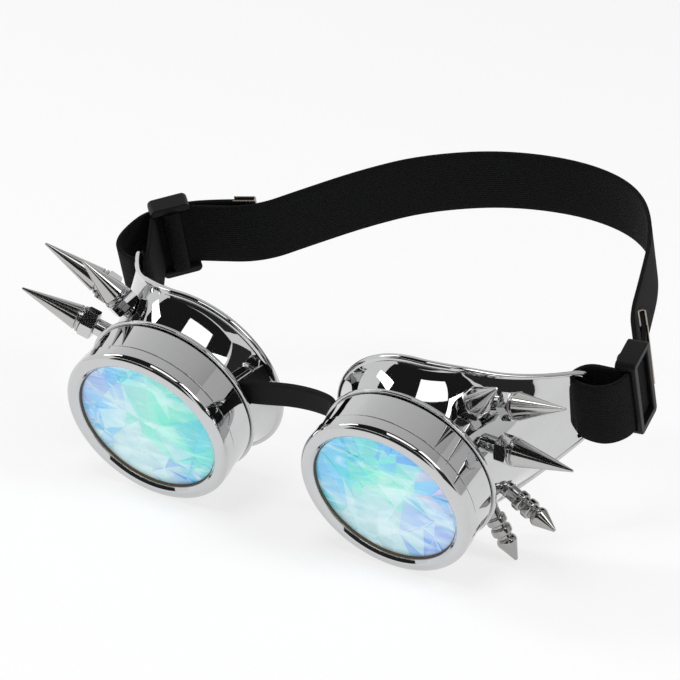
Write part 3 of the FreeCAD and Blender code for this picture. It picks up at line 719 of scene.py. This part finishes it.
def bump(tree, height, strength, distance):
    """Normal of a bump with a height socket."""
    return add(tree, "Bump", Height=height, Strength=strength, Distance=distance).outputs["Normal"]


def grey(level):
    return (level, level, level)


def toned(colour, share):
    """Colour made darker or lighter by a share."""
    return tuple(share * part for part in colour)


def plating(name, colour, rough, waviness):
    """Bright plating: soft waves of the moulding under it, and a faint haze."""
    material, tree, shader = new_material(name)
    place = add(tree, "TexCoord").outputs["Object"]
    waves = add(tree, "TexNoise", Vector=place, Scale=55.0, Detail=1.0, Roughness=0.4).outputs["Fac"]
    haze = add(tree, "TexNoise", Vector=place, Scale=420.0, Detail=4.0, Roughness=0.65).outputs["Fac"]
    set_inputs(
        shader, Metallic=1.0,
        Base_Color=ramp(tree, haze, ((0.25, toned(colour, 0.97)), (0.70, tuple(colour)))),
        Roughness=ramp(tree, haze, ((0.35, grey(rough * 0.85)), (0.75, grey(rough * 1.2)))),
        Normal=bump(tree, waves, waviness, distance=0.002))
    return material


def shard_film():
    """Colour-shifting film on the lens's facets: soft tints, broken by shards and splinters, a pale veil of
    painted milky highlights, all glowing with a painted glow from inside the lens.
    """
    material, tree, shader = new_material("shard_film")
    field, shard = (add(tree, "Attribute", attribute_name=name).outputs["Color"] for name in FILM_LAYERS)
    place = add(tree, "TexCoord").outputs["Object"]
    stretch = add(tree, "Mapping", Vector=place, Rotation=(0.3, 0.5, 0.9), Scale=(1.0, 1.0, 2.4))
    across = stretch.outputs["Vector"]
    splinters = add(tree, "TexVoronoi", Vector=across, Scale=130.0, distance="MANHATTAN")
    chance = add(tree, "SeparateColor", Color=splinters.outputs["Color"]).outputs
    pale = ramp(tree, chance["Green"], ((0.0, SPLINTER_TINTS[0]), (1.0, SPLINTER_TINTS[1])))
    share = reckoned(tree, "MULTIPLY", chance["Red"], SPLINTER_SHARE)
    colour = blended(tree, share, blended(tree, SHARD_SHARE, field, shard), pale)
    # Pale patches from a cloudy noise: painted milky highlights on the lens.
    clouds = add(tree, "TexNoise", Vector=across, Scale=75.0, Detail=2.0, Distortion=0.8)
    highlight_veil = ramp(tree, clouds.outputs["Fac"], ((0.48, grey(0)), (0.72, grey(HIGHLIGHT_VEIL_SHARE))))
    colour = blended(tree, highlight_veil, colour, HIGHLIGHT_VEIL_COLOUR)
    # The film's colour is also emitted: a painted glow standing in for light reflected inside the lens,
    # though the lens is no lamp.
    set_inputs(shader, Base_Color=colour, Emission_Color=colour, Emission_Strength=FILM_PAINTED_GLOW,
               Roughness=0.15, Specular_IOR_Level=0.4, Coat_Weight=0.5, Coat_Roughness=0.03)
    return material


def elastic(colour, pitch):
    """Black woven elastic: ribs along the strap, crossed by fine picks."""
    material, tree, shader = new_material("woven_elastic")
    place = add(tree, "UVMap", uv_map="weave").outputs["UV"]
    ribs = add(tree, "TexWave", bands_direction="Y", Vector=place,
               Scale=WAVE_BAND / pitch, Distortion=0.0).outputs["Fac"]
    picks = add(tree, "TexWave", bands_direction="X", Vector=place,
                Scale=WAVE_BAND / (pitch * PICK_PITCH), Distortion=1.5, Detail=1.0).outputs["Fac"]
    fuzz = add(tree, "TexNoise", Vector=place, Scale=900.0, Detail=3.0).outputs["Fac"]
    weave = reckoned(tree, "MULTIPLY_ADD", picks, PICK_RELIEF, ribs)
    set_inputs(
        shader, Roughness=0.9, Specular_IOR_Level=0.12, Sheen_Weight=0.02, Sheen_Roughness=0.5,
        Base_Color=ramp(tree, fuzz, ((0.30, tuple(colour)), (0.80, toned(colour, 2.2)))),
        Normal=bump(tree, weave, strength=0.5, distance=0.0003))
    return material


def dark_plastic(name, colour, rough):
    """Moulded plastic, rubber or close webbing with a fine grain."""
    material, tree, shader = new_material(name)
    place = add(tree, "TexCoord").outputs["Object"]
    grain = add(tree, "TexNoise", Vector=place, Scale=1500.0, Detail=3.0).outputs["Fac"]
    set_inputs(
        shader, Roughness=rough, Specular_IOR_Level=0.16,
        Base_Color=ramp(tree, grain, ((0.3, colour), (0.8, toned(colour, 1.8)))),
        Normal=bump(tree, grain, strength=0.15, distance=0.0002))
    return material


# Straps

def route_line(route):
    """Mesh of the smooth line that follows a strap's route in the goggles' own space."""
    curve = bpy.data.curves.new("strap_route", "CURVE")
    curve.dimensions = "3D"
    spline = curve.splines.new("NURBS")
    spline.points.add(len(route) - 1)
    for point, place in zip(spline.points, route):
        point.co = (place[0], place[1], 0.0, 1.0)
    spline.order_u = 3
    spline.use_endpoint_u = True
    spline.resolution_u = 10
    holder = linked("strap_route", curve)
    line = evaluated(holder)
    bpy.data.objects.remove(holder)
    bpy.data.curves.remove(curve)
    return line


def ribbon(name, route, width, thickness, material, level=0.0):
    """Flat strap on edge along a route, its weave laid out in metres along and across it, and its length."""
    line = route_line(route)
    bm = bmesh.new()
    bm.from_mesh(line)
    bm.verts.ensure_lookup_table()
    run = [vertex.co.copy() for vertex in bm.verts]
    along = [0.0]
    for here, after in zip(run, run[1:]):
        along.append(along[-1] + (after - here).length)
    index = bm.verts.layers.int.new("run_index")
    for order, vertex in enumerate(bm.verts):
        vertex[index] = order
    bmesh.ops.translate(bm, verts=bm.verts, vec=(0, 0, level - width / 2))
    edges = list(bm.edges)
    for _ in range(STRAP_STEPS):
        grown = bmesh.ops.extrude_edge_only(bm, edges=edges)["geom"]
        bmesh.ops.translate(bm, verts=of_kind(grown, bmesh.types.BMVert), vec=(0, 0, width / STRAP_STEPS))
        edges = of_kind(grown, bmesh.types.BMEdge)
    weave = bm.loops.layers.uv.new("weave")
    for face in bm.faces:
        for corner in face.loops:
            corner[weave].uv = (along[corner.vert[index]], corner.vert.co.z)
    face_outwards(bm)
    for face in bm.faces:
        face.smooth = True
    move(bm, GOGGLES)
    bpy.data.meshes.remove(line)
    piece = finished(name, bm, material)
    body = piece.modifiers.new("thickness", "SOLIDIFY")
    body.thickness = thickness
    body.offset = 0.0
    eased(piece, thickness * STRAP_EASE_SHARE, 2, FOLD_ANGLE)
    return piece, along[-1]


# Operators

class GOGGLES_OT_plate_shells(bpy.types.Operator):
    """Forms and plates the eyecups and the screw bezels"""
    bl_idname = "goggles.plate_shells"
    bl_label = "Plate shells"

    def execute(self, context):
        look = context.scene.goggles_plating
        shell = plating("shell_plating", look.shell_colour, rough=0.035, waviness=0.03)
        for side in SIDES:
            space, body = cup_space(side), side + "_cup"
            wall = settle(cut_out(cup_wall(), cup_slots(), shell), space)
            piece = finished(side + "_cup_wall", wall, shell, body, "plated_shell")
            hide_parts(side + "_eyecup")
            flange = settle(turned(FLANGE_OUTLINE, SHELL_STEPS), space)
            evenly_lit(finished(side + "_cup_flange", flange, shell, body, "plated_shell"))
            posts = settle(bosses(side), space)
            evenly_lit(finished(side + "_cup_bosses", posts, shell, body, "plated_shell"))
            bezel = settle(turned(BEZEL_OUTLINE, SHELL_STEPS), space)
            piece = finished(side + "_screw_bezel", bezel, shell, side + "_bezel", "plated_shell")
            evenly_lit(piece)
            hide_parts(side + "_bezel")
        return {"FINISHED"}


class GOGGLES_OT_fit_spikes(bpy.types.Operator):
    """Turns the spikes and studs, and finishes their nuts and screws"""
    bl_idname = "goggles.fit_spikes"
    bl_label = "Fit spikes"

    def execute(self, context):
        look = context.scene.goggles_plating
        spike = plating("spike_plating", look.spike_colour, rough=0.10, waviness=0.03)
        nut = plating("nut_plating", look.shell_colour, rough=0.08, waviness=0.03)
        stud = plating("stud_plating", look.stud_colour, rough=0.12, waviness=0.03)
        for side in SIDES:
            body = side + "_cup"
            for name, (base, direction, neck) in seats(side).items():
                if name.endswith("spike"):
                    length = SPIKE_SEATS[name.removesuffix("_spike")][3]
                    shape = turned(spike_outline(length), SPIKE_STEPS)
                    rise, material, slot = neck + NUT_LENGTH, spike, "spike_plate"
                else:
                    shape = turned(STUD_OUTLINE, SPIKE_STEPS)
                    rise, material, slot = neck, stud, "stud_gunmetal"
                place = cup_space(side) @ standing(base + direction * rise, direction)
                piece = finished(side + "_" + name + "_cone", settle(shape, place), material, body, slot)
                evenly_lit(piece)
                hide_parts(side + "_" + name)
            for name, slot in FASTENERS.items():
                dressed_node(side + name, body, nut, slot, look.edge_ease)
        return {"FINISHED"}


def spots_near(side, place):
    """Tints of a lens's spots with their weights at a place, the nearest first."""
    weighed = []
    for x, z, tint in LENS_SPOTS[side]:
        distance = (Vector((x, z)) - place).length_squared
        weighed.append((1 / (SPOT_SOFTNESS + distance) ** 2, Vector(TINTS[tint])))
    return sorted(weighed, key=lambda entry: -entry[0])


def mean_tint(side, place):
    """Tint at a place on a lens: its spots' tints, the near ones most."""
    weighed = spots_near(side, place)
    total = sum((weight * tint for weight, tint in weighed), Vector((0, 0, 0)))
    return total / sum(weight for weight, tint in weighed)


def film_layers(bm):
    """Layers for the film's tints, soft at the corners and plain on each face."""
    field, shard = FILM_LAYERS
    return bm.verts.layers.float_vector.new(field), bm.faces.layers.float_vector.new(shard)


def shard_disc(side, radius, depth, relief, cuts):
    """Lens whose front is broken into shards by cuts, each facet with its own lean and tint."""
    chance = random.Random("shards of the " + side + " lens")
    bm = bmesh.new()
    bmesh.ops.create_circle(bm, cap_ends=True, segments=LENS_SEGMENTS, radius=radius)
    for cut in range(cuts):
        turn = chance.uniform(0, math.pi)
        offset = chance.uniform(-CUT_SPREAD, CUT_SPREAD) * radius
        normal = Vector((math.cos(turn), math.sin(turn), 0))
        faces = [face for face in bm.faces if cut < WIDE_CUTS or chance.random() < CUT_CHANCE]
        parts = set(faces)
        for face in faces:
            parts.update(face.edges)
            parts.update(face.verts)
        bmesh.ops.bisect_plane(bm, geom=list(parts), plane_co=normal * offset, plane_no=normal,
                               dist=radius * CUT_GAP)
    inner = [vertex for vertex in bm.verts if vertex.co.length < radius * RIM_START]
    bmesh.ops.remove_doubles(bm, verts=inner, dist=radius * LEAST_SHARD)
    bmesh.ops.triangulate(bm, faces=bm.faces, quad_method="BEAUTY", ngon_method="BEAUTY")
    for vertex in bm.verts:
        if vertex.co.length < radius * BORDER_START:
            vertex.co.z = chance.uniform(-relief, relief)
    field, shard = film_layers(bm)
    for vertex in bm.verts:
        vertex[field] = mean_tint(side, vertex.co.xy / radius)
    for face in bm.faces:
        near = spots_near(side, face.calc_center_median().xy / radius)
        face[shard] = chance.choice(near[:NEAR_SPOTS])[1] * chance.uniform(*SHARD_LIGHTNESS)
    border = [edge for edge in bm.edges if edge.is_boundary]
    wall = bmesh.ops.extrude_edge_only(bm, edges=border)["geom"]
    bmesh.ops.translate(bm, verts=of_kind(wall, bmesh.types.BMVert), vec=(0, 0, -depth))
    bmesh.ops.contextual_create(bm, geom=of_kind(wall, bmesh.types.BMEdge))
    face_outwards(bm)
    return bm


def crown(radius, depth):
    """Faceted crown at the lens's back: two rings of facets that rise to a table."""
    level = -depth
    for low, high, height in CROWN_RINGS:
        ring = bmesh.new()
        place = Matrix.Translation((0, 0, level - height / 2)) @ Matrix.Rotation(math.pi, 4, "X")
        bmesh.ops.create_cone(ring, cap_ends=True, segments=CROWN_SEGMENTS, radius1=radius * low,
                              radius2=radius * high, depth=height, matrix=place)
        bmesh.ops.triangulate(ring, faces=[face for face in ring.faces if len(face.verts) == 4])
        field, shard = film_layers(ring)
        for vertex in ring.verts:
            vertex[field] = TINTS["aqua"]
        for index, face in enumerate(ring.faces):
            face[shard] = TINTS[CROWN_TINTS[index * CROWN_STRIDE % len(CROWN_TINTS)]]
        level -= height
        yield ring


class GOGGLES_OT_cut_lenses(bpy.types.Operator):
    """Cuts the faceted lenses, seats their gaskets and sets a ring of painted shade at each window's edge"""
    bl_idname = "goggles.cut_lenses"
    bl_label = "Cut lenses"

    def execute(self, context):
        size = context.scene.goggles_lens
        film = shard_film()
        rubber = dark_plastic("gasket_rubber", grey(0.012), rough=0.7)
        # Dark brown of the ring at the window's edge: painted shade of the shadow line, and a painted
        # reflection of the inner lip.
        painted_shade_brown = dark_plastic("window_ring_painted_shade", (0.10, 0.062, 0.035), rough=0.45)
        for side in SIDES:
            disc = shard_disc(side, size.radius, size.depth, size.relief, size.cuts)
            lens = merged([disc, *crown(size.radius, size.depth)])
            seat = Vector((LENS_REACH if side == "right" else -LENS_REACH, LENS_FRONT + size.relief, 0))
            place = GOGGLES @ Matrix.Translation(seat) @ Matrix.Rotation(math.pi / 2, 4, "X")
            move(lens, place)
            piece = finished(side + "_shard_lens", lens, film, side + "_lens_set", "lens_glass")
            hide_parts(side + "_lens")
            gasket = settle(turned(GASKET_OUTLINE, RING_STEPS), cup_space(side))
            piece = finished(side + "_gasket_ring", gasket, rubber, side + "_lens_set", "gasket_rubber")
            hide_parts(side + "_lens_gasket")
            # Ring at the window's edge that paints the shadow line round the glass and the lip's brown
            # reflection.
            shade_ring = settle(turned(SHADE_RING_OUTLINE, RING_STEPS), cup_space(side))
            finished(side + "_window_shade_ring", shade_ring, painted_shade_brown, side + "_bezel", "gasket_rubber")
        return {"FINISHED"}


class GOGGLES_OT_weave_straps(bpy.types.Operator):
    """Weaves the head strap, its two ends and their wraps on the buckles"""
    bl_idname = "goggles.weave_straps"
    bl_label = "Weave straps"

    def execute(self, context):
        size = context.scene.goggles_strap
        cloth = elastic(size.colour, size.rib_pitch)
        strap, length = ribbon("head_strap_weave", HEAD_ROUTE, size.width, size.thickness, cloth)
        ends = (GOGGLES @ Vector((*HEAD_ROUTE[-2], 0)), GOGGLES @ Vector((*HEAD_ROUTE[1], 0)))
        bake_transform(strap)
        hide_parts("head_strap")
        for side in SIDES:
            loop, length = ribbon(side + "_loop_weave", LOOP_ROUTES[side], size.width, size.thickness, cloth)
            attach(loop, side + "_cup")
            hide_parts(side + "_strap_loop")
            middle, run = BUCKLES[side]
            inward = Vector((-run.y, run.x)) * (1 if side == "right" else -1)
            route = [middle + run * along + inward * into for along, into in BAR_WRAP]
            wrap, _ = ribbon(side + "_bar_wrap", route, size.width, size.thickness, cloth)
            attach(wrap, side + "_buckle")
        return {"FINISHED"}


class GOGGLES_OT_mould_buckles(bpy.types.Operator):
    """Finishes the slide buckles"""
    bl_idname = "goggles.mould_buckles"
    bl_label = "Mould buckles"

    def execute(self, context):
        plastic = dark_plastic("buckle_plastic", grey(0.0035), rough=0.42)
        for side in SIDES:
            dressed_node(side + "_slide_buckle", side + "_buckle", plastic, "buckle_plastic", BUCKLE_EASE)
        return {"FINISHED"}


class GOGGLES_OT_crimp_tips(bpy.types.Operator):
    """Folds the crimped tips over the strap's tails"""
    bl_idname = "goggles.crimp_tips"
    bl_label = "Crimp tips"

    def execute(self, context):
        metal = plating("crimp_metal", context.scene.goggles_plating.tip_colour, rough=0.22, waviness=0.05)
        size = context.scene.goggles_strap
        for side in SIDES:
            before, end = (Vector(place) for place in LOOP_ROUTES[side][-2:])
            run = (end - before).normalized()
            across = Vector((-run.y, run.x))
            route = [end + run * along + across * aside for along, aside in TIP_FOLD]
            tip, _ = ribbon(side + "_crimped_tip", route, size.width + TIP_MARGIN, TIP_SHEET, metal)
            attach(tip, side + "_cup")
            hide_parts(side + "_strap_tip")
        return {"FINISHED"}


class GOGGLES_OT_sew_bridge(bpy.types.Operator):
    """Sews the nose strap between the cups"""
    bl_idname = "goggles.sew_bridge"
    bl_label = "Sew bridge"

    def execute(self, context):
        webbing = dark_plastic("bridge_strap", grey(0.005), rough=0.6)
        level = BRIDGE_SLOT_PLACE[2]
        piece, _ = ribbon("nose_strap", BRIDGE_ROUTE, NOSE_WIDTH, NOSE_THICKNESS, webbing, level)
        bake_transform(piece)
        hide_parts("nose_bridge")
        return {"FINISHED"}


def facing(place, point):
    """Matrix that puts a lamp or a card at a place, facing a point."""
    turn = (Vector(point) - Vector(place)).to_track_quat("-Z", "Y")
    return Matrix.Translation(place) @ turn.to_matrix().to_4x4()


def card(name, size, place, point, greys):
    """Studio card that only mirrors see, graded along its width from one grey to another."""
    bm = bmesh.new()
    bm.loops.layers.uv.new("card")
    bmesh.ops.create_grid(bm, x_segments=1, y_segments=1, size=0.5, calc_uvs=True)
    bmesh.ops.scale(bm, vec=(*size, 1), verts=bm.verts)
    move(bm, facing(place, point))
    material, tree, shader = new_material(name)
    material.cycles.emission_sampling = "NONE"
    laid = add(tree, "UVMap", uv_map="card").outputs["UV"]
    along = add(tree, "SeparateXYZ", Vector=laid).outputs["X"]
    grade = add(tree, "MapRange", Value=along, To_Min=greys[0], To_Max=greys[1]).outputs["Result"]
    set_inputs(shader, Base_Color=(0, 0, 0, 1), Specular_IOR_Level=0,
               Emission_Color=(1, 1, 1, 1), Emission_Strength=grade)
    piece = finished(name, bm, material)
    piece.visible_camera = False
    piece.visible_diffuse = False
    piece.visible_shadow = False
    piece.visible_transmission = False


def softbox(name, size, place, watts):
    """Soft lamp that faces the goggles and that mirrors don't see."""
    light = bpy.data.lights.new(name, "AREA")
    light.shape = "RECTANGLE"
    light.size, light.size_y = size
    light.energy = watts
    lamp = linked(name, light)
    lamp.matrix_world = facing(place, HEART)
    lamp.visible_glossy = False


def seen_rays(tree):
    """Socket that is 1 for rays from the camera, mirrors and glass."""
    rays = add(tree, "LightPath").outputs
    seen = reckoned(tree, "MAXIMUM", rays["Is Camera Ray"], rays["Is Glossy Ray"])
    return reckoned(tree, "MAXIMUM", seen, rays["Is Transmission Ray"])


def lay_floor(colour):
    """Floor that takes the shadow, with a share of plain white for the rays that see it."""
    bm = bmesh.new()
    bmesh.ops.create_grid(bm, x_segments=1, y_segments=1, size=FLOOR_REACH)
    material, tree, shader = new_material("studio_floor")
    material.cycles.emission_sampling = "NONE"
    set_inputs(shader, Base_Color=(*colour, 1), Roughness=0.7, Specular_IOR_Level=0.1)
    mixed = add(tree, "MixShader", Fac=reckoned(tree, "MULTIPLY", seen_rays(tree), FLOOR_GLOW))
    feed(mixed.inputs[1], shader.outputs["BSDF"])
    feed(mixed.inputs[2], add(tree, "Emission", Strength=1.0).outputs["Emission"])
    set_inputs(tree.nodes["Material Output"], Surface=mixed.outputs["Shader"])
    finished("studio_floor", bm, material)


def light_sky(scene):
    """Even sky, at full strength where it is seen and dimmer where it lights the goggles."""
    scene.world = bpy.data.worlds.new("studio_world")
    scene.world.use_nodes = True
    tree = scene.world.node_tree
    strength = reckoned(tree, "MULTIPLY_ADD", seen_rays(tree), 1 - SKY_LIGHT, SKY_LIGHT)
    set_inputs(tree.nodes["Background"], Color=(*grey(SKY_GREY), 1), Strength=strength)


def place_camera(scene, stage):
    """Camera at its turn, height and distance from its aim."""
    camera = bpy.data.cameras.new("photo_camera")
    camera.lens = stage.lens
    camera.sensor_width = 36.0
    camera.clip_end = 20.0
    eye = linked("photo_camera", camera)
    flat = math.cos(stage.elevation)
    back = Vector((math.sin(stage.azimuth) * flat, -math.cos(stage.azimuth) * flat,
                   math.sin(stage.elevation)))
    turn = back.to_track_quat("Z", "Y").to_matrix().to_4x4() @ Matrix.Rotation(stage.roll, 4, "Z")
    eye.matrix_world = Matrix.Translation(Vector(stage.aim) + back * stage.distance) @ turn
    scene.camera = eye


class GOGGLES_OT_set_stage(bpy.types.Operator):
    """Sets the floor, the studio light and the camera"""
    bl_idname = "goggles.set_stage"
    bl_label = "Set stage"

    def execute(self, context):
        scene, stage = context.scene, context.scene.goggles_stage
        scene.view_settings.view_transform = "Standard"
        lay_floor(stage.floor_colour)
        light_sky(scene)
        for row in SOFTBOXES:
            softbox(*row)
        for row in CARDS:
            card(*row)
        place_camera(scene, stage)
        return {"FINISHED"}


class GOGGLES_PT_parts(bpy.types.Panel):
    """Buttons and settings for the goggles' pieces"""
    bl_idname = "GOGGLES_PT_parts"
    bl_label = "Steampunk goggles"
    bl_space_type = "VIEW_3D"
    bl_region_type = "UI"
    bl_category = "Goggles"

    def draw(self, context):
        for operator in OPERATORS:
            self.layout.operator(operator.bl_idname)
        for group in SETTINGS:
            box = self.layout.box()
            settings = getattr(context.scene, group)
            for key in settings.bl_rna.properties.keys():
                if key not in {"rna_type", "name"}:
                    box.prop(settings, key)


SETTINGS = {
    "goggles_plating": GogglesPlating,
    "goggles_lens": GogglesLens,
    "goggles_strap": GogglesStrap,
    "goggles_stage": GogglesStage,
}
OPERATORS = (
    GOGGLES_OT_plate_shells,
    GOGGLES_OT_fit_spikes,
    GOGGLES_OT_cut_lenses,
    GOGGLES_OT_weave_straps,
    GOGGLES_OT_mould_buckles,
    GOGGLES_OT_crimp_tips,
    GOGGLES_OT_sew_bridge,
    GOGGLES_OT_set_stage,
)


def register():
    for kind in (*SETTINGS.values(), *OPERATORS, GOGGLES_PT_parts):
        bpy.utils.register_class(kind)
    for name, kind in SETTINGS.items():
        setattr(bpy.types.Scene, name, bpy.props.PointerProperty(type=kind))


def unregister():
    for name in SETTINGS:
        delattr(bpy.types.Scene, name)
    for kind in (GOGGLES_PT_parts, *reversed(OPERATORS), *reversed(SETTINGS.values())):
        bpy.utils.unregister_class(kind)


def main():
    register()
    bpy.ops.goggles.plate_shells()
    bpy.ops.goggles.fit_spikes()
    bpy.ops.goggles.cut_lenses()
    bpy.ops.goggles.weave_straps()
    bpy.ops.goggles.mould_buckles()
    bpy.ops.goggles.crimp_tips()
    bpy.ops.goggles.sew_bridge()
    bpy.ops.goggles.set_stage()


if __name__ == "__main__":
    main()
